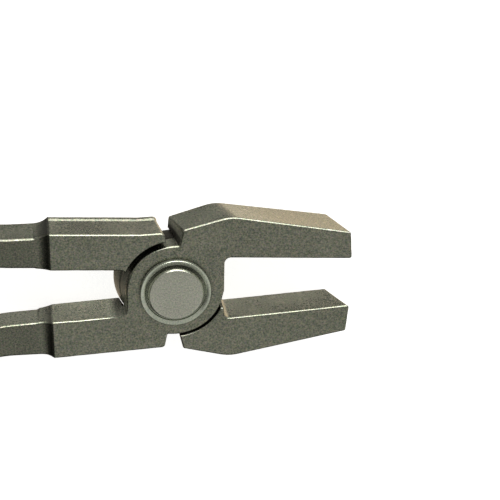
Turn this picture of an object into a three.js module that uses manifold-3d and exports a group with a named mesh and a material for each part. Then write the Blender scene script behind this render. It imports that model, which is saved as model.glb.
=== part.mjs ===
// Glass nibbling pliers: two matching forgings lapped over one another on a headed rivet.
//
// Units are millimetres. The tool lies flat on a bench: +X runs along it towards the jaw
// tips, +Y lies across it and +Z stands up along the rivet. The origin is on the rivet's
// axis, on the underside of its lower head, which is level with the bench.
//
// The front forging is the upper jaw, the upper layer of the joint and the lower handle.
// The rear forging is the same shape turned half a turn about the long axis, except that
// every side that leans does so towards the same bench, and that its jaw's heel is upright.

import * as THREE from 'three';
import { mergeVertices } from 'three/addons/utils/BufferGeometryUtils.js';
import Module from 'manifold-3d';

const wasm = await Module();
wasm.setup();
const { clamp, lerp } = THREE.MathUtils;

// ---- driving dimensions ------------------------------------------------------------

const FORGING_THICKNESS = 9.2; // jaws, joint and shoulders
const SHANK_THICKNESS = 7.6; // behind the shoulders and inside the grips
const HEAD_HEIGHT = 1.1; // each rivet head
const RING_THICKNESS = 0.9; // the turned ring round each head, at its rim
const RING_FLOOR_THICKNESS = 0.4; // and inside its dish, under the head
const SEAT_GAP = 0.15; // between pieces that lie on one another

const BOSS_RADIUS = 10.0; // the round lap of each forging
const JAW_RELIEF_RADIUS = 10.45; // clears the other forging's boss on the jaw side
const HANDLE_RELIEF_RADIUS = 11.1; // and on the handle side
const BORE_RADIUS = 4.2;
const PIN_RADIUS = 4.0;
const HEAD_FACE_RADIUS = 5.5;
const HEAD_BASE_RADIUS = 6.1;
const RING_RADIUS = 7.25;
const RING_DISH_RADIUS = 6.3;
const RING_CHAMFER = 0.2;

const EDGE_CHAMFER = 0.35; // all round the forgings' faces
const TURNED_FACETS = 64; // round a full turn
const ARC_STEP = 0.2; // largest turn in radians between the points of a rounded corner
const OVERLAP = 1.0; // how far solids reach past one another where they join or cut

// Jaw profile above the joint axis: a heel, a humped back and a flat biting face.
const JAW = {
  heelRootX: 0.4, heelRootY: 8.0, // inside the boss
  heelTopX: 1.65, heelTopY: 13.45, heelRound: 0.5,
  humpX: 11.4, humpY: 15.95, humpRound: 12.0,
  tipBackX: 36.6, tipBackY: 11.4, tipBackRound: 0.5,
  tipBiteX: 37.1, tipBiteY: 5.4, tipBiteRound: 0.8,
  throatX: 10.15, throatY: 6.95, throatFillet: 1.3,
  throatEndY: -0.5, throatTailX: 9.8, throatTailY: -1.5, // tails off into the boss
  rootX: 9.0, rootY: -2.0, // inside the boss
};
const THROAT_STOP = { fromX: 8.0, toX: 10.75, halfWidth: 4.4 }; // cuts the relieved layer off blunt

// Profiles are those of the forging's front face. Towards the rear face, ends and sides that
// look along the tool lie back, the rear forging's jaw only at its tip, and the boss flares.
const JAW_LEAN = {
  heelRootBack: 1.4,
  heelBack: 2.2, heelDrop: 0.56,
  tipBack: 3.5, tipRise: 0.63,
};
const BOSS_FLARE = { most: 2.15, fromX: -3.0, toX: -7.0 }; // on the handle side, none up to fromX
const RELIEF_FLARE = 1.35; // of the relief that clears the flared boss
const HANDLE_LEAN = { back: 1.1, fromX: -6.0 }; // only the heel end

// Handle profile, drawn above the axis; the front forging carries it mirrored below.
const HANDLE = {
  heelRootX: -1.2, heelRootY: 8.0, // inside the boss
  heelTopX: -2.2, heelTopY: 12.95, heelRound: 0.8,
  shoulderX: -25.1, shoulderY: 14.05, shoulderRound: 0.9, shoulderInnerY: 5.9,
  neckX: -27.8, neckY: 12.7, neckInnerY: 6.2, // the forging is thinned from the shoulder to here
  innerX: -10.2, innerY: 5.1, innerFillet: 2.0,
  innerTailX: -9.9, innerTailY: 1.2, rootX: -9.0, // tails off into the boss
};

// Shank: a flat bar that bows outwards from the neck to the end of the handle.
const SHANK_WIDTH = 6.2;
const SHANK_LINE = [[-22, 9.35], [-30, 9.45], [-36, 9.75], [-44, 11.5], [-54, 15.6], [-70, 22.4],
  [-92, 29.8], [-120, 35.4], [-150, 38.0]];
const SHANK_CHAMFER = 0.5;
const STRIP_STEPS = 18; // along the shank
const ROUND_END_STEPS = 12;

// Dipped grip over the shank.
const GRIP_WIDTH = 13.5;
const GRIP_START = 0.25; // share of the shank's length that is left bare
const GRIP_ROUND = 4.5;
const GRIP_ROUND_STEPS = 4;
const GRIP_FIT = 0.3; // between the shank and the grip's inside
const SOCKET_START = 0.2; // the socket is open at the grip's mouth

// ---- heights worked out from the stack -----------------------------------------------

const FORGING_BASE = HEAD_HEIGHT + RING_FLOOR_THICKNESS + 2 * SEAT_GAP;
const FORGING_TOP = FORGING_BASE + FORGING_THICKNESS;
const MIDDLE = (FORGING_BASE + FORGING_TOP) / 2;
const SHANK_BASE = MIDDLE - SHANK_THICKNESS / 2;
const SHANK_TOP = MIDDLE + SHANK_THICKNESS / 2;
const TOTAL_HEIGHT = 2 * MIDDLE;

// ---- materials -------------------------------------------------------------------------

const forgedSteel = new THREE.MeshStandardMaterial({ color: 0x6b6860, roughness: 0.5, metalness: 0.9 });
const rivetSteel = new THREE.MeshStandardMaterial({ color: 0x8c8a7d, roughness: 0.4, metalness: 0.9 });
const ringSteel = new THREE.MeshStandardMaterial({ color: 0xa5a896, roughness: 0.35, metalness: 0.9 });
const gripPlastic = new THREE.MeshStandardMaterial({ color: 0x26282a, roughness: 0.6, metalness: 0.0 });

// ---- solids ----------------------------------------------------------------------------

function toSolid(geometry) {
  const bare = geometry.clone();
  bare.deleteAttribute('normal');
  bare.deleteAttribute('uv');
  const welded = mergeVertices(bare, 1e-5);
  return new wasm.Manifold(new wasm.Mesh({
    numProp: 3,
    vertProperties: new Float32Array(welded.attributes.position.array),
    triVerts: new Uint32Array(welded.index.array),
  }));
}

function toGeometry(solid) {
  const mesh = solid.getMesh();
  const geometry = new THREE.BufferGeometry();
  geometry.setAttribute('position', new THREE.BufferAttribute(new Float32Array(mesh.vertProperties), 3));
  geometry.setIndex(new THREE.BufferAttribute(new Uint32Array(mesh.triVerts), 1));
  geometry.computeVertexNormals();
  return geometry;
}

// A closed outline from corners [x, y, radius]; a corner with a radius becomes an arc.
function outline(corners) {
  const points = [];
  corners.forEach(([x, y, radius = 0], i) => {
    const corner = new THREE.Vector2(x, y);
    if (radius === 0) {
      points.push(corner);
      return;
    }
    const [px, py] = corners[(i + corners.length - 1) % corners.length];
    const [nx, ny] = corners[(i + 1) % corners.length];
    const back = new THREE.Vector2(px, py).sub(corner).normalize();
    const on = new THREE.Vector2(nx, ny).sub(corner).normalize();
    const half = Math.acos(back.dot(on)) / 2;
    const centre = back.clone().add(on).normalize().multiplyScalar(radius / Math.sin(half)).add(corner);
    const first = back.multiplyScalar(radius / Math.tan(half)).add(corner).sub(centre);
    const last = on.multiplyScalar(radius / Math.tan(half)).add(corner).sub(centre);
    const turn = Math.atan2(first.cross(last), first.dot(last));
    const steps = Math.max(3, Math.ceil(Math.abs(turn) / ARC_STEP));
    for (let k = 0; k <= steps; k += 1) {
      points.push(first.clone().rotateAround(new THREE.Vector2(), turn * k / steps).add(centre));
    }
  });
  return new THREE.Shape(points);
}

// A flat slab of the outline from z = low to z = high, with its face edges broken.
function slab(shape, low, high, chamfer, bevelSegments = 1) {
  const geometry = new THREE.ExtrudeGeometry(shape, {
    depth: high - low - 2 * chamfer,
    bevelEnabled: chamfer > 0,
    bevelThickness: chamfer,
    bevelSize: chamfer,
    bevelOffset: -chamfer,
    bevelSegments,
  });
  geometry.translate(0, 0, low + chamfer);
  return toSolid(geometry);
}

function disc(radius, low, high, lowRadius = radius) {
  const geometry = new THREE.CylinderGeometry(radius, lowRadius, high - low, TURNED_FACETS);
  geometry.rotateX(Math.PI / 2);
  geometry.translate(0, 0, (low + high) / 2);
  return toSolid(geometry);
}

function block(lowCorner, highCorner) {
  const low = new THREE.Vector3(...lowCorner);
  const size = new THREE.Vector3(...highCorner).sub(low);
  const geometry = new THREE.BoxGeometry(size.x, size.y, size.z);
  geometry.translate(low.x + size.x / 2, low.y + size.y / 2, low.z + size.z / 2);
  return toSolid(geometry);
}

// ---- outlines in the plane of the joint --------------------------------------------------

function jawOutline() {
  return outline([
    [JAW.heelRootX, JAW.heelRootY],
    [JAW.heelRootX, 0],
    [JAW.rootX, JAW.rootY],
    [JAW.throatTailX, JAW.throatTailY],
    [JAW.throatX, JAW.throatEndY],
    [JAW.throatX, JAW.throatY, JAW.throatFillet],
    [JAW.tipBiteX, JAW.tipBiteY, JAW.tipBiteRound],
    [JAW.tipBackX, JAW.tipBackY, JAW.tipBackRound],
    [JAW.humpX, JAW.humpY, JAW.humpRound],
    [JAW.heelTopX, JAW.heelTopY, JAW.heelRound],
  ]);
}

// The wide part of the handle, below the axis.
function shoulderOutline() {
  return outline([
    [HANDLE.heelRootX, -HANDLE.heelRootY],
    [HANDLE.heelRootX, 0],
    [HANDLE.rootX, 0],
    [HANDLE.innerTailX, -HANDLE.innerTailY],
    [HANDLE.innerX, -HANDLE.innerY, HANDLE.innerFillet],
    [HANDLE.shoulderX, -HANDLE.shoulderInnerY],
    [HANDLE.neckX, -HANDLE.neckInnerY],
    [HANDLE.neckX, -HANDLE.neckY],
    [HANDLE.shoulderX, -HANDLE.shoulderY, HANDLE.shoulderRound],
    [HANDLE.heelTopX, -HANDLE.heelTopY, HANDLE.heelRound],
  ]);
}

const shankCurve = new THREE.CatmullRomCurve3(
  SHANK_LINE.map(([x, y]) => new THREE.Vector3(x, -y, 0)), false, 'centripetal');

// A strip of the given width along the shank's line, with round ends where asked.
function stripOutline(width, from, to, roundEnd) {
  const left = [];
  const right = [];
  for (let k = 0; k <= STRIP_STEPS; k += 1) {
    const t = from + (to - from) * k / STRIP_STEPS;
    const p = shankCurve.getPointAt(t);
    const d = shankCurve.getTangentAt(t);
    left.push(new THREE.Vector2(p.x + d.y * width / 2, p.y - d.x * width / 2));
    right.push(new THREE.Vector2(p.x - d.y * width / 2, p.y + d.x * width / 2));
  }
  const cap = [];
  if (roundEnd) {
    const centre = shankCurve.getPointAt(to);
    const arm = left[STRIP_STEPS].clone().sub(new THREE.Vector2(centre.x, centre.y));
    for (let k = 1; k < ROUND_END_STEPS; k += 1) {
      const spoke = arm.clone().rotateAround(new THREE.Vector2(), Math.PI * k / ROUND_END_STEPS);
      cap.push(new THREE.Vector2(centre.x + spoke.x, centre.y + spoke.y));
    }
  }
  return new THREE.Shape([...left, ...cap, ...right.reverse()]);
}

// ---- pieces --------------------------------------------------------------------------------

// Lays a solid's sides back towards the handles, from its face at z = front to that at z = rear;
// lean(x, y) says how far back and how far outwards the rear face's corner there goes.
function laidBack(solid, front, rear, lean) {
  return solid.warp((corner) => {
    const [x, y, z] = corner;
    const depth = (z - front) / (rear - front);
    const [back, rise] = lean(x, y);
    corner[0] -= depth * back;
    corner[1] += depth * rise;
  });
}

// The throat and the root stay upright, and the biting face stays flat.
function jawLean(x, y, heelShare) {
  const biteSlope = (JAW.throatY - JAW.tipBiteY) / (JAW.tipBiteX - JAW.throatX);
  const bites = y < JAW.heelRootY - OVERLAP / 2;
  if (bites && x < JAW.tipBackX - OVERLAP) return [0, 0];
  const up = clamp((y - JAW.heelRootY) / (JAW.heelTopY - JAW.heelRootY), 0, 1);
  const along = x / JAW.tipBackX;
  const heelBack = heelShare * lerp(JAW_LEAN.heelRootBack, JAW_LEAN.heelBack, up);
  const back = lerp(heelBack, JAW_LEAN.tipBack, along);
  const rise = bites ? back * biteSlope : lerp(-heelShare * JAW_LEAN.heelDrop, JAW_LEAN.tipRise, along);
  return [back, rise];
}

function bossFlare(x, y) {
  const share = clamp((x - BOSS_FLARE.fromX) / (BOSS_FLARE.toX - BOSS_FLARE.fromX), 0, 1);
  const growth = BOSS_FLARE.most * share / BOSS_RADIUS;
  return [-x * growth, y * growth];
}

function handleLean(x) {
  return [x > HANDLE_LEAN.fromX ? HANDLE_LEAN.back : 0, 0];
}

// Thins the upper face of the shoulder down to the shank in a slope, for y below the axis.
function shoulderSlope() {
  const slope = new THREE.Shape([
    new THREE.Vector2(HANDLE.shoulderX, FORGING_TOP),
    new THREE.Vector2(HANDLE.neckX, SHANK_TOP),
    new THREE.Vector2(HANDLE.neckX - OVERLAP, SHANK_TOP),
    new THREE.Vector2(HANDLE.neckX - OVERLAP, TOTAL_HEIGHT),
    new THREE.Vector2(HANDLE.shoulderX, TOTAL_HEIGHT),
  ]);
  const geometry = new THREE.ExtrudeGeometry(slope, { depth: 2 * BOSS_RADIUS, bevelEnabled: false });
  geometry.rotateX(Math.PI / 2);
  return toSolid(geometry);
}

function flipped(solid) {
  return solid.rotate([180, 0, 0]).translate([0, 0, TOTAL_HEIGHT]);
}

// The front half's forging, laid back from its face at z = front to that at z = rear, with
// heelShare of the lean at its jaw's heel.
function forging(front, rear, heelShare) {
  const slope = shoulderSlope();
  const shoulder = laidBack(
    slab(shoulderOutline(), FORGING_BASE, FORGING_TOP, EDGE_CHAMFER), front, rear, handleLean)
    .subtract(slope)
    .subtract(flipped(slope).mirror([0, 1, 0]));
  const shank = slab(stripOutline(SHANK_WIDTH, 0, 1, true), SHANK_BASE, SHANK_TOP, SHANK_CHAMFER);
  const jaw = laidBack(slab(jawOutline(), FORGING_BASE, FORGING_TOP, EDGE_CHAMFER),
    front, rear, (x, y) => jawLean(x, y, heelShare));
  const boss = laidBack(disc(BOSS_RADIUS, FORGING_BASE, FORGING_TOP), front, rear, bossFlare);

  const lapHeight = MIDDLE + SEAT_GAP;
  const lapRelief = HANDLE_RELIEF_RADIUS + RELIEF_FLARE / 2;
  const baseRelief = HANDLE_RELIEF_RADIUS + (rear < front ? RELIEF_FLARE : 0);
  const reach = HANDLE_RELIEF_RADIUS + RELIEF_FLARE + OVERLAP;
  const handleSide = block([-reach, -reach, -OVERLAP], [0, OVERLAP, TOTAL_HEIGHT])
    .add(block([-reach, 0, -OVERLAP], [BOSS_FLARE.fromX, reach, TOTAL_HEIGHT]));
  const jawRelief = disc(JAW_RELIEF_RADIUS, 0, lapHeight);
  const handleRelief = disc(lapRelief, FORGING_BASE, lapHeight, baseRelief)
    .add(disc(baseRelief, 0, FORGING_BASE))
    .intersect(handleSide);
  const throatStop = block(
    [THROAT_STOP.fromX, -THROAT_STOP.halfWidth, 0],
    [THROAT_STOP.toX, THROAT_STOP.halfWidth, lapHeight]);
  const bore = disc(BORE_RADIUS, 0, TOTAL_HEIGHT);

  return jaw.add(boss).add(shoulder).add(shank)
    .subtract(jawRelief).subtract(handleRelief).subtract(throatStop).subtract(bore);
}

function grip() {
  const outer = slab(
    stripOutline(GRIP_WIDTH, GRIP_START, 1, true), 0, TOTAL_HEIGHT, GRIP_ROUND, GRIP_ROUND_STEPS);
  const socket = slab(
    stripOutline(SHANK_WIDTH + 2 * GRIP_FIT, SOCKET_START, 1, true),
    SHANK_BASE - GRIP_FIT, SHANK_TOP + GRIP_FIT, SHANK_CHAMFER);
  return outer.subtract(socket);
}

// Shank and both conical heads of the rivet, in one piece.
function rivetGeometry() {
  return new THREE.LatheGeometry([
    new THREE.Vector2(0, 0),
    new THREE.Vector2(HEAD_FACE_RADIUS, 0),
    new THREE.Vector2(HEAD_BASE_RADIUS, HEAD_HEIGHT),
    new THREE.Vector2(PIN_RADIUS, HEAD_HEIGHT),
    new THREE.Vector2(PIN_RADIUS, TOTAL_HEIGHT - HEAD_HEIGHT),
    new THREE.Vector2(HEAD_BASE_RADIUS, TOTAL_HEIGHT - HEAD_HEIGHT),
    new THREE.Vector2(HEAD_FACE_RADIUS, TOTAL_HEIGHT),
    new THREE.Vector2(0, TOTAL_HEIGHT),
  ], TURNED_FACETS);
}

// A dished ring: its face slopes down from the rim to a floor that the head sits on.
function ringGeometry() {
  return new THREE.LatheGeometry([
    new THREE.Vector2(BORE_RADIUS, 0),
    new THREE.Vector2(RING_RADIUS, 0),
    new THREE.Vector2(RING_RADIUS, RING_THICKNESS - RING_CHAMFER),
    new THREE.Vector2(RING_RADIUS - RING_CHAMFER, RING_THICKNESS),
    new THREE.Vector2(RING_DISH_RADIUS, RING_FLOOR_THICKNESS),
    new THREE.Vector2(BORE_RADIUS, RING_FLOOR_THICKNESS),
    new THREE.Vector2(BORE_RADIUS, 0),
  ], TURNED_FACETS);
}

// ---- assembly ------------------------------------------------------------------------------

function piece(name, geometry, material) {
  const mesh = new THREE.Mesh(geometry, material);
  mesh.name = name;
  return mesh;
}

// A turned piece: its lathe axis, Y, becomes the tool's Z.
function turned(name, geometry, material, base, faceDown = false) {
  const mesh = piece(name, geometry, material);
  mesh.rotation.x = faceDown ? -Math.PI / 2 : Math.PI / 2;
  mesh.position.z = base;
  return mesh;
}

const frontForging = forging(FORGING_TOP, FORGING_BASE, 1);
const rearForging = flipped(forging(FORGING_BASE, FORGING_TOP, 0));
const lowerGrip = grip();

const frontHalf = new THREE.Group();
frontHalf.add(
  piece('front_half_forging', toGeometry(frontForging), forgedSteel),
  piece('lower_handle_grip', toGeometry(lowerGrip), gripPlastic),
  turned('pivot_rivet', rivetGeometry(), rivetSteel, 0),
  turned('front_rivet_ring', ringGeometry(), ringSteel, FORGING_TOP + SEAT_GAP),
  turned('rear_rivet_ring', ringGeometry(), ringSteel, FORGING_BASE - SEAT_GAP, true),
);

const rearHalf = new THREE.Group();
rearHalf.add(
  piece('rear_half_forging', toGeometry(rearForging), forgedSteel),
  piece('upper_handle_grip', toGeometry(flipped(lowerGrip)), gripPlastic),
);

const pliers = new THREE.Group();
pliers.add(frontHalf, rearHalf);

export default pliers;
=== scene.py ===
"""Glass nibbling pliers: fine surfaces, materials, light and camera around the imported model."""

import math

import bpy
import numpy as np
from mathutils import Matrix, Vector


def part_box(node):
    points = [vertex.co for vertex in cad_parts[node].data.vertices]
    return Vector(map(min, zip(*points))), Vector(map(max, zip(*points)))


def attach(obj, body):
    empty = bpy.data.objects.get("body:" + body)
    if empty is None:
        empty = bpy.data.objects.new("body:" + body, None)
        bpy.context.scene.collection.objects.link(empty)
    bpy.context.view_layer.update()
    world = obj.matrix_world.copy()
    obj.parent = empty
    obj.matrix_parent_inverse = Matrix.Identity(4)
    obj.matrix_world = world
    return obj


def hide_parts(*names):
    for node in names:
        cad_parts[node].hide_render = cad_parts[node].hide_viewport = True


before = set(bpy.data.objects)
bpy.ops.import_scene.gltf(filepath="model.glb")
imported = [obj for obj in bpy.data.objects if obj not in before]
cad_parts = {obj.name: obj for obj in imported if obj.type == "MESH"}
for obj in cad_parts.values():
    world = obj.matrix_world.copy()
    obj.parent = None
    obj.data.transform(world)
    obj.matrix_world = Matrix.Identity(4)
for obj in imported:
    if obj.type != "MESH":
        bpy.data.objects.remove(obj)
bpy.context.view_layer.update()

MM = 0.001  # shapes below are worked out in millimetres


def node_box(node):
    """Lowest and highest corner of a CAD node in millimetres."""
    low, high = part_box(node)
    return np.array(low) / MM, np.array(high) / MM


# ---- sizes, in millimetres ------------------------------------------------------------------

FORGING_LOW, FORGING_HIGH = node_box("front_half_forging")
MIDDLE = (FORGING_LOW[2] + FORGING_HIGH[2]) / 2  # height of the lap between the halves
HALF = (FORGING_HIGH[2] - FORGING_LOW[2]) / 2  # of the forgings' thickness
TOP = node_box("pivot_rivet")[1][2]
LAP_GAP = 0.15

BOSS_RADIUS = 10.0
JAW_RELIEF_RADIUS = 10.45
HANDLE_RELIEF_RADIUS = 11.1
BORE_RADIUS = 4.2
PIN_RADIUS = 4.0
HEAD_FACE_RADIUS = 5.5
HEAD_BASE_RADIUS = 6.1
RING_RADIUS = node_box("front_rivet_ring")[1][0]
RING_TOP = node_box("front_rivet_ring")[1][2]
RING_DISH_RADIUS = 6.28  # the ring's face slopes gently in to here, then drops to its floor
RING_DISH_DROP = 0.2
RING_FLOOR = RING_TOP - 0.5  # under the head
THROAT_STOP = (8.0, 10.75, 4.4)  # from x, to x, half width: cuts the relieved layer off blunt
LAP_OVERLAP = 1.0  # how far the handle side's relief reaches past the axis

# Corners [x, y, radius] of the front half. The jaw is its outer edges less the throat.
JAW = [
    [0.4, 8.0, 0], [0.4, -10.0, 0], [38.3, -10.0, 0], [36.52, 11.4, 0.5],
    [11.4, 15.95, 9.0], [1.65, 13.45, 0.5],
]
THROAT = [
    [10.15, 6.95, 1.3], [60.0, 4.083, 0], [60.0, -40.0, 0], [-20.0, -40.0, 0],
    [-20.0, -2.0, 0], [9.0, -2.0, 0], [9.8, -1.5, 0], [10.15, -0.5, 0],
]
# From the front face to the rear one, sides that look along the tool lie back by these.
JAW_LEAN = {
    "heel_root_back": 1.4, "heel_back": 2.2, "heel_drop": 0.56, "tip_back": 3.5, "tip_rise": 0.63,
    "root_y": 8.0, "heel_y": 13.45, "tip_x": 36.6,
}
HANDLE_LEAN = 1.1  # at the handle's heel
HEEL_NONE_X, HEEL_FULL_X = -12.0, -4.0  # between which that grows
BOSS_FLARE = 2.15  # the lap is wider by this at the rear face, on the handle side
RELIEF_FLARE = 1.1  # and the relief that clears it
FLARE_NONE_X, FLARE_FULL_X = -3.0, -7.0
BITE_ROUND = 0.6
# The handle, as mirrored above the axis.
HANDLE = [
    [-1.2, 8.0, 0], [-1.2, 0, 0], [-9.0, 0, 0], [-9.9, 1.2, 0], [-10.2, 5.1, 1.2],
    [-25.1, 5.9, 0], [-27.8, 6.2, 0], [-27.8, 12.7, 0], [-25.1, 14.05, 0.9], [-2.2, 12.95, 0.8],
]
SHOULDER_X = -25.1
NECK_X = -27.8
SHANK_LINE = [
    [-22, 9.35], [-30, 9.45], [-36, 9.75], [-44, 11.5], [-54, 15.6], [-70, 22.4],
    [-92, 29.8], [-120, 35.4], [-150, 38.0],
]
SHANK_WIDTH = 6.5
SHANK_HALF = 3.8
SHANK_DRAFT = 0.25  # wider towards the face of its own layer by this on each side
SHANK_SWELL = 0.25  # and wider by this at the neck
SWELL_NONE_X, SWELL_FULL_X = -36.0, -27.0
SHANK_SET_OUT = 0.3  # the front half's lies further out by this
HIDDEN_X = -60.0  # the grip covers the shank behind this
NECK_BLEND = 0.6
LAP_BLEND = 0.25
LAYER_OVERLAP = 1.5  # how far the relieved layer reaches into the other
COVE_OUTER_TRIM = 0.35  # share by which the cove is shorter on the outer side
COVE_TRIM_RUN = 6.0
OUTER_Y = -8.0  # the handle's outer side lies beyond this

ARC_STEP = 0.08  # largest turn in radians between the points of a rounded corner
EDGE_ROUND = 0.38
SHANK_ROUND = 0.6
EDGE_CHANGE = 3.0  # run over which one rounding turns into the other
SIDE_INSET = 0.33  # how far the rear half's handle is set in on its outer side
LIP_FROM, LIP_TO = 2.75, 3.5  # heights above the lap between which that side flares into a lip
LIP_FLARE = 0.28
GRID = 0.25  # spacing of the surface grid over the head
FAR_GRID = 0.7  # and along the shank, mostly under the grip
NEAR_X = -42.0

SEAT_SHIM = 0.02  # keeps seated faces from lying in one plane
PIN_SLACK = 0.1  # between a ring and the pin, and at the foot of the head

GRIP_START = 0.25  # share of the shank's line left bare
GRIP_HALF_WIDTH = 6.75
GRIP_HALF_HEIGHT = 6.4
GRIP_SHORTER = 0.1  # at its end, than the modelled one
GRIP_SQUARENESS = 3.2  # 2 would be an ellipse

FAR_OUTSIDE = 4.0  # a field value well clear of the surface
JAW_SPAN, HANDLE_SPAN = (-4.0, 60.0), (-32.0, 3.0)  # x beyond which the outlines aren't worked out


# ---- plane geometry -------------------------------------------------------------------------

def rounded(corners):
    """A closed outline from corners (x, y, radius): each corner with a radius becomes an arc."""
    points = []
    count = len(corners)
    for i, (x, y, radius) in enumerate(corners):
        corner = np.array([x, y], float)
        if radius == 0:
            points.append(corner)
            continue
        back = np.array(corners[i - 1][:2]) - corner
        on = np.array(corners[(i + 1) % count][:2]) - corner
        back, on = back / np.linalg.norm(back), on / np.linalg.norm(on)
        half = math.acos(back @ on) / 2
        middle = back + on
        centre = corner + middle / np.linalg.norm(middle) * radius / math.sin(half)
        first = corner + back * radius / math.tan(half) - centre
        last = corner + on * radius / math.tan(half) - centre
        turn = math.atan2(first[0] * last[1] - first[1] * last[0], first @ last)
        steps = max(4, math.ceil(abs(turn) / ARC_STEP))
        for k in range(steps + 1):
            c, s = math.cos(turn * k / steps), math.sin(turn * k / steps)
            points.append(centre + np.array([c * first[0] - s * first[1], s * first[0] + c * first[1]]))
    return np.array(points)


def smooth_line(knots, steps=8):
    """Centripetal Catmull-Rom curve through the knots, as the CAD shank has it."""
    p = np.array(knots, float)
    p = np.vstack([2 * p[0] - p[1], p, 2 * p[-1] - p[-2]])
    points = []
    for i in range(1, len(p) - 2):
        t = [0.0]
        for k in range(3):
            t.append(t[-1] + np.linalg.norm(p[i + k] - p[i + k - 1]) ** 0.5)
        for u in np.linspace(t[1], t[2], steps, endpoint=False):
            a = [(t[k + 1] - u) / (t[k + 1] - t[k]) * p[i + k - 1]
                 + (u - t[k]) / (t[k + 1] - t[k]) * p[i + k] for k in range(3)]
            b = [(t[k + 2] - u) / (t[k + 2] - t[k]) * a[k]
                 + (u - t[k]) / (t[k + 2] - t[k]) * a[k + 1] for k in range(2)]
            points.append((t[2] - u) / (t[2] - t[1]) * b[0] + (u - t[1]) / (t[2] - t[1]) * b[1])
    points.append(p[-2])
    return np.array(points)


def segment_square(ax, ay, bx, by, x, y):
    """Square of the distance from (x, y) to a segment."""
    ex, ey = bx - ax, by - ay
    px, py = x - ax, y - ay
    t = np.clip((px * ex + py * ey) / (ex * ex + ey * ey), 0, 1)
    return (px - ex * t) ** 2 + (py - ey * t) ** 2


def share_between(value, none, full):
    """0 up to none, 1 from full on and a straight line between; full may be the lower one."""
    return np.clip((value - none) / (full - none), 0, 1)


def outline_distance(points, x, y):
    """Distance in the plane to a closed outline, negative inside."""
    best = np.full(np.broadcast(x, y).shape, 1e9)
    inside = np.zeros(best.shape, bool)
    for (ax, ay), (bx, by) in zip(points, np.roll(points, -1, axis=0)):
        best = np.minimum(best, segment_square(ax, ay, bx, by, x, y))
        if ay != by:
            inside ^= ((ay > y) != (by > y)) & (x < (bx - ax) * (y - ay) / (by - ay) + ax)
    return np.where(inside, -1, 1) * np.sqrt(best)


def line_distance(points, x, y):
    best = np.full(np.broadcast(x, y).shape, 1e9)
    for (ax, ay), (bx, by) in zip(points[:-1], points[1:]):
        best = np.minimum(best, segment_square(ax, ay, bx, by, x, y))
    return np.sqrt(best)


# ---- solid fields: negative inside, zero on the surface ----------------------------------------

def blended(a, b, reach):
    """Union of two fields with a fillet of about that reach."""
    h = np.clip(0.5 + 0.5 * (b - a) / reach, 0, 1)
    return b * (1 - h) + a * h - reach * h * (1 - h)


def corner_round(a, b, radius):
    """Where both fields are inside, with the edge between them rounded."""
    a, b = a + radius, b + radius
    return np.minimum(np.maximum(a, b), 0) + np.hypot(np.maximum(a, 0), np.maximum(b, 0)) - radius


def layer(plan, z, low, high, radius):
    return corner_round(plan, np.abs(z - (low + high) / 2) - (high - low) / 2, radius)


jaw_points = rounded(JAW)
throat_points = rounded(THROAT)
handle_points = rounded(HANDLE) * [1, -1]
shank_points = smooth_line(SHANK_LINE) * [1, -1]


def only_between(low, high, field, x, y, z):
    """The field where x lies between low and high; well outside the solid elsewhere."""
    x, y, z = np.broadcast_arrays(x, y, z)
    near = (x > low) & (x < high)
    values = np.full(x.shape, FAR_OUTSIDE)
    values[near] = field(x[near], y[near], z[near])
    return values


def jaw_field(x, y, z, front, heel_share):
    """The jaw's plan at height z, with its ends laid back from the face at z = front."""
    lean = JAW_LEAN
    depth = (front - z) / (2 * front)
    up = share_between(y, lean["root_y"], lean["heel_y"])
    heel_back = heel_share * (lean["heel_root_back"] + (lean["heel_back"] - lean["heel_root_back"]) * up)
    heel_drop = heel_share * lean["heel_drop"]
    along = (x + depth * heel_back) / lean["tip_x"]
    back = heel_back + (lean["tip_back"] - heel_back) * along
    rise = -heel_drop + (lean["tip_rise"] + heel_drop) * along
    outer = outline_distance(jaw_points, x + depth * back, y - depth * rise)
    return corner_round(outer, -outline_distance(throat_points, x, y), BITE_ROUND)


def handle_field(x, y, z, front):
    """The plan of the handle's wide part at height z, with its heel laid back."""
    depth = (front - z) / (2 * front)
    heel = share_between(x, HEEL_NONE_X, HEEL_FULL_X)
    return outline_distance(handle_points, x + depth * HANDLE_LEAN * heel, y)


def boss_field(x, y, z, front):
    """The round lap, flared on the handle side."""
    depth = (front - z) / (2 * front)
    flare = BOSS_FLARE * depth * share_between(x, FLARE_NONE_X, FLARE_FULL_X)
    return np.hypot(x, y) - BOSS_RADIUS - flare


def relief_radius(x, y, z, front):
    """Radius cut away from the layer that the other forging's lap turns in."""
    handle_side = (x < 0) & (y < LAP_OVERLAP) | (x < FLARE_NONE_X)
    depth = (front - z) / (2 * front)
    return np.where(handle_side, HANDLE_RELIEF_RADIUS + RELIEF_FLARE * depth, JAW_RELIEF_RADIUS)


def shoulder_share(x, y, z):
    """Share of the full thickness left at x: a crisp step, then a cove down to the shank."""
    outward = share_between(y, OUTER_Y, OUTER_Y - COVE_TRIM_RUN)
    cove = (SHOULDER_X - NECK_X) * (1 - COVE_OUTER_TRIM * outward * (z > 0))
    t = np.clip((SHOULDER_X - x) / cove, 0, 1)
    return 1 - (1 - SHANK_HALF / HALF) * (1 - (1 - t) ** 2)


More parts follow.
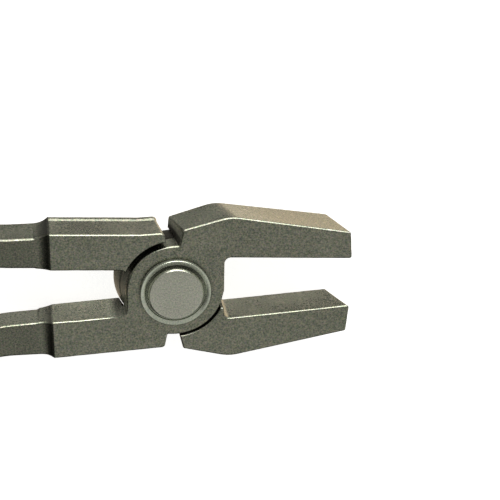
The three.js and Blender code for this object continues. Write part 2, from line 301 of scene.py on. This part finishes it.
def forging_field(front, heel_share):
    """Field of the front half's forging, with z counted up from the lap. Its sides lie back from
    the face at z = front, its jaw's heel by heel_share of the full lean."""
    def field(x, y, z):
        reach = np.hypot(x, y)
        jaw = only_between(*JAW_SPAN, lambda *p: jaw_field(*p, front, heel_share), x, y, z)
        wide = only_between(*HANDLE_SPAN, lambda *p: handle_field(*p, front), x, y, z)
        boss = boss_field(x, y, z, front)
        swell = SHANK_SWELL * share_between(x, SWELL_NONE_X, SWELL_FULL_X)
        taper = np.where(x > HIDDEN_X, swell + SHANK_DRAFT * z / SHANK_HALF, 0)
        out = SHANK_SET_OUT if front > 0 else 0
        shank = line_distance(shank_points, x, y + out) - SHANK_WIDTH / 2 - taper
        outer_side = (x < FLARE_NONE_X) & (x > SHOULDER_X) & (y < OUTER_Y) & (front < 0)
        inset = SIDE_INSET * outer_side * share_between(x, FLARE_NONE_X, FLARE_FULL_X)
        handle = blended(wide, shank, NECK_BLEND) + inset

        level = z / shoulder_share(x, y, z)
        own_layer = blended(blended(jaw, boss, LAP_BLEND), handle, LAP_BLEND)
        own_layer = own_layer - LIP_FLARE * outer_side * (np.clip(level, LIP_FROM, LIP_TO) - LIP_FROM)
        relief = relief_radius(x, y, z, front) - reach
        stop_from, stop_to, stop_half = THROAT_STOP
        stop = np.maximum(
            np.abs(x - (stop_from + stop_to) / 2) - (stop_to - stop_from) / 2, np.abs(y) - stop_half)
        other_layer = np.maximum(np.maximum(np.minimum(jaw, handle), relief), -stop)

        edge_share = share_between(x, SHOULDER_X, SHOULDER_X - EDGE_CHANGE)
        edge = EDGE_ROUND + (SHANK_ROUND - EDGE_ROUND) * edge_share
        solid = np.minimum(
            layer(own_layer, level, LAP_GAP, HALF, edge),
            layer(other_layer, level, -HALF, LAP_GAP + LAYER_OVERLAP, edge))
        return np.maximum(solid, BORE_RADIUS - reach)
    return field


# ---- from field to mesh ------------------------------------------------------------------------

def slopes(field, p, step=0.02):
    g = np.empty_like(p)
    for axis in range(3):
        q, r = p.copy(), p.copy()
        q[:, axis] += step
        r[:, axis] -= step
        g[:, axis] = (field(*q.T) - field(*r.T)) / (2 * step)
    return g


def surface_net(field, xs, ys, zs):
    """Points on the field's surface, one in each grid cell that it crosses, and the quads between."""
    values = field(xs[:, None, None], ys[None, :, None], zs[None, None, :])
    values = np.ascontiguousarray(np.broadcast_to(values, (len(xs), len(ys), len(zs))))
    inside = values < 0
    shape = values.shape
    axes = (xs, ys, zs)
    strides = np.array([shape[1] * shape[2], shape[2], 1])
    total = np.zeros((values.size, 3))
    count = np.zeros(values.size)
    crossings = []
    for axis in range(3):
        near = [slice(None)] * 3
        far = [slice(None)] * 3
        near[axis], far[axis] = slice(0, -1), slice(1, None)
        cut = np.argwhere(inside[tuple(near)] != inside[tuple(far)])
        end = cut.copy()
        end[:, axis] += 1
        a, b = values[tuple(cut.T)], values[tuple(end.T)]
        point = np.stack([axes[k][cut[:, k]] for k in range(3)], 1)
        point[:, axis] += a / (a - b) * (axes[axis][end[:, axis]] - axes[axis][cut[:, axis]])
        u, v = (axis + 1) % 3, (axis + 2) % 3
        cells = []
        for du, dv in ((0, 0), (-1, 0), (-1, -1), (0, -1)):
            cell = cut @ strides + du * strides[u] + dv * strides[v]
            np.add.at(total, cell, point)
            np.add.at(count, cell, 1)
            cells.append(cell)
        quad = np.stack(cells, 1)
        flip = ~inside[tuple(cut.T)]
        quad[flip] = quad[flip][:, ::-1]
        crossings.append(quad)
    used = np.flatnonzero(count)
    number = np.full(values.size, -1)
    number[used] = np.arange(len(used))
    points = total[used] / count[used][:, None]
    return points, number[np.concatenate(crossings)]


def settle(field, points, most=0.2, rounds=4, least_slope=0.05):
    """Moves each point onto the surface and gives the surface's normals there."""
    start = points.copy()
    for _ in range(rounds):
        g = slopes(field, points)
        points = points - (field(*points.T) / np.maximum((g * g).sum(1), least_slope))[:, None] * g
        move = points - start
        far = np.linalg.norm(move, axis=1)
        points = start + move * np.minimum(1, most / np.maximum(far, 1e-9))[:, None]
    g = slopes(field, points)
    return points, g / np.linalg.norm(g, axis=1)[:, None]


def mesh_object(name, points, faces, normals=None):
    mesh = bpy.data.meshes.new(name)
    mesh.from_pydata((points * MM).tolist(), [], [list(f) for f in faces])
    mesh.update()
    mesh.polygons.foreach_set("use_smooth", [True] * len(mesh.polygons))
    if normals is not None:
        mesh.normals_split_custom_set_from_vertices(normals.tolist())
    obj = bpy.data.objects.new(name, mesh)
    bpy.context.scene.collection.objects.link(obj)
    return obj


# ---- forgings -------------------------------------------------------------------------------------

def forging_skin(name, front, heel_share, turn):
    """One half's forging; turn is the sign of each axis when it is laid in place."""
    field = forging_field(front, heel_share)
    margin = 3 * GRID
    xs = np.concatenate([
        np.arange(FORGING_LOW[0] - margin, NEAR_X - FAR_GRID / 2, FAR_GRID),
        np.arange(NEAR_X, FORGING_HIGH[0] + margin, GRID)])
    ys = np.arange(FORGING_LOW[1] - margin, FORGING_HIGH[1] + margin, GRID)
    zs = np.arange(-HALF - margin, HALF + margin, GRID)
    points, quads = surface_net(field, xs, ys, zs)
    points, normals = settle(field, points)
    lift = np.array([0, 0, MIDDLE])
    turn = np.array(turn)
    return mesh_object(name, points * turn + lift, quads, normals * turn)


# ---- turned pieces ---------------------------------------------------------------------------------

def lathe(name, profile, segments=160):
    """A turned piece about Z from (radius, height) points; ends on the axis close to a point."""
    points, faces, rings = [], [], []
    for radius, height in profile:
        if radius == 0:
            rings.append([len(points)] * segments)
            points.append([0, 0, height])
            continue
        rings.append([len(points) + k for k in range(segments)])
        for k in range(segments):
            a = 2 * math.pi * k / segments
            points.append([radius * math.cos(a), radius * math.sin(a), height])
    loops = list(zip(rings, rings[1:]))
    if profile[0][0] != 0:
        loops.append((rings[-1], rings[0]))
    for low, high in loops:
        for k in range(segments):
            n = (k + 1) % segments
            faces.append(list(dict.fromkeys([low[k], low[n], high[n], high[k]])))
    return mesh_object(name, np.array(points), faces)


def arc(centre, radius, start, end, steps):
    """Points on an arc in a lathe profile, with angles in degrees from the radial direction."""
    angles = np.radians(np.linspace(start, end, steps + 1))
    return [(centre[0] + radius * math.cos(a), centre[1] + radius * math.sin(a)) for a in angles]


def doubled(profile, gap=0.03):
    """Sets a point close to each side of every corner, so that smooth shading keeps it crisp."""
    points = []
    for i, (r, z) in enumerate(profile):
        here = np.array([r, z])
        for other in (profile[i - 1] if i else None, profile[i + 1] if i + 1 < len(profile) else None):
            if other is None:
                continue
            way = np.array(other) - here
            length = np.linalg.norm(way)
            points.append(tuple(here + way / length * min(gap, length / 4)) if r else (r, z))
    return list(dict.fromkeys(points))


def rivet_skin():
    """The pin and its two conical heads, each with a flat turned face."""
    lip = 0.14
    seat = RING_FLOOR + SEAT_SHIM
    slope = math.degrees(math.atan2(HEAD_BASE_RADIUS - HEAD_FACE_RADIUS, TOP - seat))
    upper = [(PIN_RADIUS, MIDDLE), (PIN_RADIUS, seat), (HEAD_BASE_RADIUS, seat)]
    upper += arc((HEAD_FACE_RADIUS - lip, TOP - lip), lip, slope, 90, 4)
    face_rings = (4.6, 3.2, 1.6, 0.5, 0)
    upper = doubled(upper) + [(r, TOP) for r in face_rings]
    lower = [(r, 2 * MIDDLE - z) for r, z in upper]
    return lathe("rivet_skin", lower[::-1] + upper[1:])


def ring_skin(name, upper):
    """A dished ring: its face slopes in from a rolled rim and drops to the head's seat."""
    base = FORGING_HIGH[2] - SEAT_SHIM
    inside = PIN_RADIUS + PIN_SLACK
    roll = 0.12
    dish = math.degrees(math.atan2(RING_DISH_DROP, RING_RADIUS - roll - RING_DISH_RADIUS))
    profile = [(inside, base), (RING_RADIUS, base)]
    profile += arc((RING_RADIUS - roll, RING_TOP - roll), roll, 0, 90 + dish, 5)
    profile += [(RING_DISH_RADIUS, RING_TOP - RING_DISH_DROP),
                (HEAD_BASE_RADIUS + PIN_SLACK, RING_FLOOR), (inside, RING_FLOOR)]
    profile = doubled(profile)
    if not upper:
        profile = [(r, 2 * MIDDLE - z) for r, z in profile][::-1]
    return lathe(name, profile)


# ---- grips -----------------------------------------------------------------------------------------

def grip_skin(name, turn):
    """A dipped grip: a lip at its mouth, a slight waist, a swell for the palm and a round end."""
    line = smooth_line(SHANK_LINE, 24) * [1, -1]
    steps = np.linalg.norm(np.diff(line, axis=0), axis=1)
    run = np.concatenate([[0], np.cumsum(steps)])
    start, end = run[-1] * GRIP_START, run[-1] + GRIP_HALF_WIDTH - GRIP_SHORTER
    round_from = end - GRIP_HALF_WIDTH
    mouth = np.array([0.0, 0.05, 0.25, 0.6, 1.1, 1.7, 2.3, 2.9, 3.6, 4.6, 6.0, 8.0])
    round_end = GRIP_HALF_WIDTH * (1 - np.sin(np.radians(np.arange(6, 90, 6))))
    palm = np.linspace(start + 10.5, round_from, 44)
    stations = np.concatenate([start + mouth, palm, end - round_end])
    size_at = [0, 0.3, 1.1, 2.3, 3.6, 6.0, 14.0, 34.0, 60.0, 84.0, 97.0]
    size = [0.62, 0.80, 0.93, 0.95, 0.90, 0.87, 0.90, 0.985, 0.93, 0.955, 0.985]
    around = np.radians(np.arange(0, 360, 7.5))
    power = 2 / GRIP_SQUARENESS
    side = np.sign(np.cos(around)) * np.abs(np.cos(around)) ** power * GRIP_HALF_WIDTH
    height = np.sign(np.sin(around)) * np.abs(np.sin(around)) ** power * GRIP_HALF_HEIGHT
    last_way = line[-1] - line[-2]
    last_way = last_way / np.linalg.norm(last_way)

    def on_line(s):
        return np.array([np.interp(s, run, line[:, 0]), np.interp(s, run, line[:, 1])])

    points = []
    for s in stations:
        (x, y), way = on_line(s), on_line(s + 1) - on_line(s - 1)
        if s > run[-1]:
            x, y = line[-1] + last_way * (s - run[-1])
            way = last_way
        way = way / np.linalg.norm(way)
        past = max(0.0, s - round_from) / GRIP_HALF_WIDTH
        scale = np.interp(s - start, size_at, size) * math.sqrt(max(0.0, 1 - past * past))
        points.append(np.stack([x + way[1] * side * scale, y - way[0] * side * scale, height * scale], 1))
    count = len(around)
    faces = []
    for i in range(len(stations) - 1):
        for k in range(count):
            n = (k + 1) % count
            faces.append([i * count + k, i * count + n, (i + 1) * count + n, (i + 1) * count + k])
    faces.append(list(range(count))[::-1])
    last = (len(stations) - 1) * count
    faces.append(list(range(last, last + count)))
    lift = np.array([0, 0, MIDDLE])
    return mesh_object(name, np.concatenate(points) * np.array(turn) + lift, faces)


# ---- materials --------------------------------------------------------------------------------------

GRAIN = 0.32  # size of the steel's speckle, in millimetres
TURNING_PITCH = 0.45


class NodeTree:
    """The node tree of a material or a world, built up call by call."""

    def __init__(self, owner):
        owner.use_nodes = True
        self.nodes = owner.node_tree.nodes
        self.links = owner.node_tree.links

    def add(self, kind, settings=None, **inputs):
        node = self.nodes.new("ShaderNode" + kind)
        for key, value in (settings or {}).items():
            setattr(node, key, value)
        self.feed(node, **inputs)
        return node

    def feed(self, node, **inputs):
        """Each input is named with _ for a space, or in{n} by number; sockets are linked."""
        for key, value in inputs.items():
            socket = node.inputs[int(key[2:])] if key[:2] == "in" else node.inputs[key.replace("_", " ")]
            if isinstance(value, bpy.types.NodeSocket):
                self.links.new(value, socket)
            else:
                socket.default_value = value

    def math(self, operation, a, b=0.0, c=0.0, clamp=False):
        settings = {"operation": operation, "use_clamp": clamp}
        return self.add("Math", settings, in0=a, in1=b, in2=c).outputs[0]

    def product(self, value, *others):
        for other in others:
            value = self.math("MULTIPLY", value, other)
        return value


class Surface(NodeTree):
    """A material."""

    def __init__(self, name):
        self.material = bpy.data.materials.new(name)
        super().__init__(self.material)
        self.shader = self.nodes["Principled BSDF"]

    def scaled(self, value, low, high, to_low, to_high):
        node = self.add("MapRange", None, Value=value, From_Min=low, From_Max=high,
                        To_Min=to_low, To_Max=to_high)
        return node.outputs["Result"]

    def fade(self, place, start, end, at_start, at_end):
        """Goes from at_start to at_end between two places, given in millimetres."""
        return self.scaled(place, start * MM, end * MM, at_start, at_end)

    def mix(self, share, a, b, blend="MIX"):
        node = self.add("Mix", {"data_type": "RGBA", "blend_type": blend}, Factor=share)
        self.feed(node, in6=a, in7=b)
        return node.outputs["Result"]

    def shade(self, colour, value):
        """The colour times a plain number."""
        grey = self.add("CombineColor", None, Red=value, Green=value, Blue=value).outputs[0]
        return self.mix(1.0, colour, grey, "MULTIPLY")

    def place(self):
        return self.add("TexCoord").outputs["Object"]

    def noise(self, size, detail=2.0, roughness=0.5, kind="Fac"):
        """Noise with features of about that size in millimetres."""
        node = self.add("TexNoise", None, Vector=self.place(), Scale=1 / (size * MM), Detail=detail,
                        Roughness=roughness)
        return node.outputs[kind]


def rgb(red, green, blue):
    return (red, green, blue, 1.0)


def speckled(s, colour, speckle, grain, broad):
    """The steel's own colour with a fine mottle and a tone that wanders."""
    tone = s.math("ADD", s.scaled(broad, 0.3, 0.7, 0.93, 1.07),
                  s.scaled(grain, 0.3, 0.7, -0.7 * speckle, 0.7 * speckle))
    mottle = s.add("VectorMath", {"operation": "MULTIPLY_ADD"}, in0=s.noise(GRAIN, kind="Color"),
                   in1=(speckle,) * 3, in2=(1 - speckle / 2,) * 3).outputs[0]
    return s.shade(s.mix(1.0, mottle, rgb(*colour), "MULTIPLY"), tone)


def edge_wear_and_shade(s, facing):
    """Shares of rubbed edge, and of a painted dark shade line along the front and back edges, picked by
    which way they face.
    """
    edge = s.scaled(s.add("NewGeometry").outputs["Pointiness"], 0.53, 0.62, 0.0, 1.0)
    patchy = s.scaled(s.noise(1.6, 3.0), 0.4, 0.6, 0.35, 1.0)
    scuffed = s.math("MULTIPLY", edge, patchy, clamp=True)
    front_edge = s.product(s.scaled(facing[1], -0.45, -0.12, 1.0, 0.0),
                           s.scaled(facing[2], 0.08, 0.25, 0.0, 1.0))
    rear_edge = s.product(s.scaled(facing[1], 0.2, 0.5, 0.0, 1.0),
                          s.scaled(facing[2], -0.15, -0.04, 1.0, 0.0))
    return scuffed, s.math("MULTIPLY", s.math("MAXIMUM", front_edge, rear_edge), 0.85)


def forging_tones(s, base, xyz, facing):
    """Darker shanks, painted shade in the crease of the shoulder, and a painted highlight on the inner
    sides near the joint.
    """
    x, y, _ = xyz
    base = s.shade(base, s.fade(x, NECK_X - 1, SHOULDER_X + 1, 0.72, 1.0))
    # painted shade: the cove at the shoulder darkened where it faces away from the light
    crease_shade = s.product(s.fade(x, SHOULDER_X - 2.5, SHOULDER_X - 0.5, 0.0, 0.8),
                       s.fade(x, SHOULDER_X - 0.4, SHOULDER_X + 0.2, 1.0, 0.0))
    base = s.mix(crease_shade, base, rgb(0.03, 0.03, 0.025))
    # painted highlight: inner sides that face up near the joint are made lighter
    inner_highlight = s.product(s.scaled(facing[1], 0.5, 0.8, 0.0, 1.0), s.fade(y, -5, -3, 1.0, 0.0),
                       s.fade(x, -11, -9, 1.0, 0.0))
    return s.shade(base, s.scaled(inner_highlight, 0.0, 1.0, 1.0, 1.5))


def joint_grease_and_shade(s, xyz, radius, facing, broad):
    """Share of dark old grease and painted shade: on the walls round the joint and below the lap, and
    painted shade in the handle's concave corner.
    """
    x, y, z = xyz
    wall = s.scaled(s.math("ABSOLUTE", facing[2]), 0.45, 0.7, 1.0, 0.0)
    sunk = s.product(s.math("LESS_THAN", z, (MIDDLE + 0.2) * MM), s.math("LESS_THAN", radius, 11.6 * MM))
    round_joint = s.product(
        s.fade(radius, 11.4, 13.2, 1.0, 0.0), s.math("MAXIMUM", wall, sunk),
        s.fade(x, 2, 4, 1.0, 0.0), s.fade(x, -9, -6, 0.4, 1.0))
    # painted shade: the concave corner where the lower handle meets the lap
    corner = s.product(
        s.fade(radius, 13.0, 15.2, 0.85, 0.0), s.fade(y, -5, -3, 1.0, 0.0),
        s.scaled(facing[1], 0.2, 0.6, 0.0, 1.0), s.fade(x, -10, -8, 1.0, 0.0))
    clear_lap = s.product(s.math("LESS_THAN", radius, (BOSS_RADIUS + 0.25) * MM),
                          s.math("GREATER_THAN", z, MIDDLE * MM))
    grease_and_shade = s.product(s.math("MAXIMUM", round_joint, corner), s.math("SUBTRACT", 1.0, clear_lap))
    return s.math("MULTIPLY", grease_and_shade, s.scaled(broad, 0.3, 0.7, 0.85, 1.0), clamp=True)


def steel(name, colour, roughness, speckle, crevice_shade, edge_tone, turned=False, greasy_and_shaded=False):
    """Satin steel: a speckled colour, worn edges, a painted dark line along front and back edges, and
    painted shade in crevices down to a share of that colour.
    """
    s = Surface(name)
    grain, broad = s.noise(GRAIN), s.noise(9.0, 4.0)
    facing = s.add("SeparateXYZ", None, Vector=s.add("NewGeometry").outputs["Normal"]).outputs
    xyz = s.add("SeparateXYZ", None, Vector=s.place()).outputs
    radius = s.math("SQRT", s.math("ADD", s.math("POWER", xyz[0], 2.0), s.math("POWER", xyz[1], 2.0)))

    scuffed, edge_shade = edge_wear_and_shade(s, facing)
    base = speckled(s, colour, speckle, grain, broad)
    base = s.mix(scuffed, base, rgb(*edge_tone))
    # painted shade: a dark line along the front and back edges
    base = s.mix(edge_shade, base, rgb(0.03, 0.028, 0.024))
    # painted shade: ambient occlusion darkens crevices and the walls close to other parts
    occlusion_shade = s.add("AmbientOcclusion", {"samples": 8}, Distance=1.6 * MM).outputs["AO"]
    base = s.shade(base, s.scaled(occlusion_shade, 0.3, 0.85, crevice_shade, 1.0))
    grease_and_shade = 0.0
    if greasy_and_shaded:
        grease_and_shade = joint_grease_and_shade(s, xyz, radius, facing, broad)
        # dark old grease and painted shade round the joint and in the handle's corner
        base = s.mix(grease_and_shade, forging_tones(s, base, xyz, facing), rgb(0.014, 0.012, 0.01))

    rough = s.math("ADD", s.scaled(broad, 0.3, 0.7, roughness - 0.04, roughness + 0.04),
                   s.scaled(grain, 0.3, 0.7, -0.04, 0.04))
    rough = s.math("SUBTRACT", rough, s.math("MULTIPLY", scuffed, 0.08))
    rough = s.math("ADD", rough, s.math("MULTIPLY", grease_and_shade, 0.4))
    height = s.noise(0.35)
    if turned:
        groove = s.math("SINE", s.math("MULTIPLY", radius, 2 * math.pi / (TURNING_PITCH * MM)))
        height = s.math("ADD", s.math("MULTIPLY", height, 0.5), s.math("MULTIPLY", groove, 0.05))
    bump = s.add("Bump", None, Strength=0.35, Distance=0.03 * MM, Height=height)
    metallic = s.math("SUBTRACT", 1.0, s.math("MAXIMUM", grease_and_shade, edge_shade))
    s.feed(s.shader, Base_Color=base, Metallic=metallic, Roughness=rough, Specular_IOR_Level=0.08,
           Normal=bump.outputs[0])
    return s.material


def dipped_plastic(name):
    """Soft dipped plastic: slight orange peel, rubbed shinier here and there."""
    s = Surface(name)
    broad = s.noise(14.0, 5.0, 0.6)
    peel = s.noise(1.4)
    wandering = s.scaled(broad, 0.35, 0.65, 0.0, 1.0)
    base = s.mix(wandering, rgb(0.016, 0.017, 0.019), rgb(0.032, 0.033, 0.036))
    edge = s.scaled(s.add("NewGeometry").outputs["Pointiness"], 0.52, 0.6, 0.0, 0.6)
    base = s.mix(edge, base, rgb(0.06, 0.06, 0.062))
    rough = s.scaled(broad, 0.3, 0.7, 0.42, 0.58)
    bump = s.add("Bump", None, Strength=0.3, Distance=0.12 * MM, Height=peel)
    s.feed(s.shader, Base_Color=base, Roughness=rough, Normal=bump.outputs[0])
    return s.material


def dress(obj, material):
    obj.data.materials.clear()
    obj.data.materials.append(material)


# ---- floor, light and camera --------------------------------------------------------------------------

def floor():
    reach = 3.0 / MM
    corners = np.array([[-reach, -reach, 0], [reach, -reach, 0], [reach, reach, 0], [-reach, reach, 0]])
    obj = mesh_object("floor", corners, [[0, 1, 2, 3]])
    s = Surface("pale_floor")
    tone = s.mix(s.noise(40.0, 3.0), rgb(0.9, 0.9, 0.895), rgb(0.93, 0.93, 0.925))
    s.feed(s.shader, Base_Color=tone, Roughness=0.9, Specular_IOR_Level=0.1,
           Emission_Color=rgb(1.0, 1.0, 1.0), Emission_Strength=0.8)
    dress(obj, s.material)
    obj.visible_glossy = False
    obj.visible_shadow = False


def softbox(name, place, size, power):
    """A rectangular light that faces the joint."""
    light = bpy.data.lights.new(name, "AREA")
    light.shape = "RECTANGLE"
    light.size, light.size_y = size
    light.energy = power
    obj = bpy.data.objects.new(name, light)
    obj.location = place
    obj.rotation_euler = (-Vector(place)).to_track_quat("-Z", "Y").to_euler()
    bpy.context.scene.collection.objects.link(obj)


def surroundings():
    """A dim studio, dark to the left, with a sunlit low back right and a window at the back."""
    world = bpy.data.worlds.new("studio")
    bpy.context.scene.world = world
    tree = NodeTree(world)

    def ramp(value, low, high, to_low, to_high):
        node = tree.add("MapRange", {"interpolation_type": "SMOOTHSTEP"}, Value=value, From_Min=low,
                        From_Max=high, To_Min=to_low, To_Max=to_high)
        return node.outputs["Result"]

    way = tree.add("SeparateXYZ", Vector=tree.add("TexCoord").outputs["Generated"])
    x, y, z = way.outputs
    right_low = tree.math("SUBTRACT", tree.math("MULTIPLY", x, 0.8), y)
    sunlit = ramp(right_low, -0.24, 0.02, 0.0, 1.0)
    low = tree.product(tree.math("MULTIPLY_ADD", sunlit, 1.1, 0.22), ramp(x, -0.6, -0.05, 0.2, 1.0))
    left = tree.product(ramp(x, -0.6, -0.25, 1.0, 0.0), ramp(y, -0.1, 0.15, 1.0, 0.0))
    ahead = tree.product(ramp(y, -0.95, -0.6, 0.25, 1.0), ramp(y, -0.6, -0.3, 0.48, 0.35),
                         tree.math("MULTIPLY_ADD", left, -0.9, 1.0))
    behind = ramp(z, -0.75, -0.4, 1.0, 0.0)
    in_front = tree.math("SUBTRACT", 1.0, behind)
    level = tree.math("ADD", tree.product(behind, low), tree.product(in_front, ahead))
    aside = tree.math("ABSOLUTE", tree.math("SUBTRACT", x, 0.12))
    window = tree.product(ramp(y, 0.66, 0.82, 0.0, 2.8), ramp(aside, 0.25, 0.5, 1.0, 0.0))
    warmth = tree.product(behind, sunlit)
    tint = tree.add("CombineColor", Red=1.0, Green=tree.math("MULTIPLY_ADD", warmth, -0.18, 0.98),
                    Blue=tree.math("MULTIPLY_ADD", warmth, -0.33, 0.93))
    tree.feed(tree.nodes["Background"], Color=tint.outputs[0], Strength=tree.math("ADD", level, window))


def camera():
    """Above and to the left of the joint, with the jaws right of it and the handles off the left."""
    left, up, roll = math.radians(10.0), math.radians(24.0), math.radians(1.44)
    distance, mm_per_pixel, frame_pixels = 260.0, 0.205, 500
    side, lift = 15.29, 8.46
    toward = Vector((-math.sin(left) * math.cos(up), math.sin(up), math.cos(left) * math.cos(up)))
    right = Vector((0, 1, 0)).cross(toward).normalized()
    above = toward.cross(right)
    right_r = math.cos(roll) * right + math.sin(roll) * above
    above_r = toward.cross(right_r)
    joint = Vector((0, 0, FORGING_HIGH[2]))
    data = bpy.data.cameras.new("camera")
    data.sensor_width = 36
    data.lens = data.sensor_width * distance / (mm_per_pixel * frame_pixels)
    data.clip_start, data.clip_end = 0.01, 20
    obj = bpy.data.objects.new("camera", data)
    turn = Matrix((right_r, above_r, toward)).transposed().to_4x4()
    place = (joint + toward * distance + right_r * side + above_r * lift) * MM
    obj.matrix_world = Matrix.Translation(place) @ turn
    bpy.context.scene.collection.objects.link(obj)
    bpy.context.scene.camera = obj


# ---- assembly -----------------------------------------------------------------------------------------

AS_MODELLED, TURNED_OVER = (1, 1, 1), (1, -1, -1)
forged = steel("forged_steel", (0.315, 0.33, 0.26), 0.3, 0.6, 0.3, (0.5, 0.5, 0.44), greasy_and_shaded=True)
turned_steel = steel("rivet_steel", (0.66, 0.68, 0.58), 0.28, 0.3, 0.45, (0.75, 0.75, 0.68), turned=True)
bright_steel = steel("ring_steel", (0.83, 0.9, 0.75), 0.26, 0.25, 0.85, (0.9, 0.93, 0.82), turned=True)
plastic = dipped_plastic("grip_plastic")

pieces = (
    ("front_half_forging", "front_half", "forged_steel", forged,
     forging_skin("front_forging_skin", HALF, 1, AS_MODELLED)),
    ("rear_half_forging", "rear_half", "forged_steel", forged,
     forging_skin("rear_forging_skin", -HALF, 0, TURNED_OVER)),
    ("pivot_rivet", "front_half", "rivet_steel", turned_steel, rivet_skin()),
    ("front_rivet_ring", "front_half", "ring_steel", bright_steel, ring_skin("front_ring_skin", True)),
    ("rear_rivet_ring", "front_half", "ring_steel", bright_steel, ring_skin("rear_ring_skin", False)),
    ("lower_handle_grip", "front_half", "grip_plastic", plastic, grip_skin("lower_grip_skin", AS_MODELLED)),
    ("upper_handle_grip", "rear_half", "grip_plastic", plastic, grip_skin("upper_grip_skin", TURNED_OVER)),
)
for node, body, slot, material, skin in pieces:
    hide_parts(node)
    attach(skin, body)
    dress(skin, material)

floor()
surroundings()
softbox("back_softbox", (0.16, 0.85, 0.42), (1.2, 0.5), 5)
camera()
bpy.context.scene.view_settings.view_transform = "Standard"
